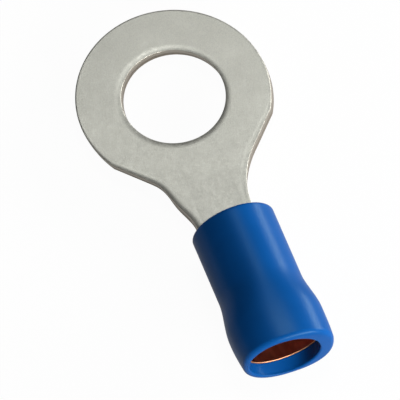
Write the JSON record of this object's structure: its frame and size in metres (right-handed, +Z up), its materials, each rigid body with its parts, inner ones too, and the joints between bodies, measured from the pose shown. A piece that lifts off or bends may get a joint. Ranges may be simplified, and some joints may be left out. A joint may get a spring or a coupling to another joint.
{
  "type": "insulated ring terminal",
  "caption": "Crimp ring terminal: a flat tinned ring tongue with a stud hole, rolled into a wire barrel inside a blue plastic sleeve with a flared oval mouth and a copper liner.",
  "frame": {"origin": "centre of the stud hole on the tongue's underside, the face that seats on the terminal block or post", "axes": "+X from the ring to the wire entry, along the barrel; +Z up, away from the seat, square to the tongue; +Y across the tongue"},
  "size_m": [0.0255, 0.012, 0.0053],
  "materials": {
    "tinned_copper": "tin-plated copper sheet, satin warm grey with a fine mottled grain",
    "bare_copper": "bare copper, dull red-brown with a bright cut edge",
    "blue_vinyl": "moulded blue vinyl, soft broad gloss"
  },
  "bodies": {
    "root": {"terminal_body": "tinned_copper", "copper_liner": "bare_copper", "insulation_sleeve": "blue_vinyl"}
  },
  "joints": []
}
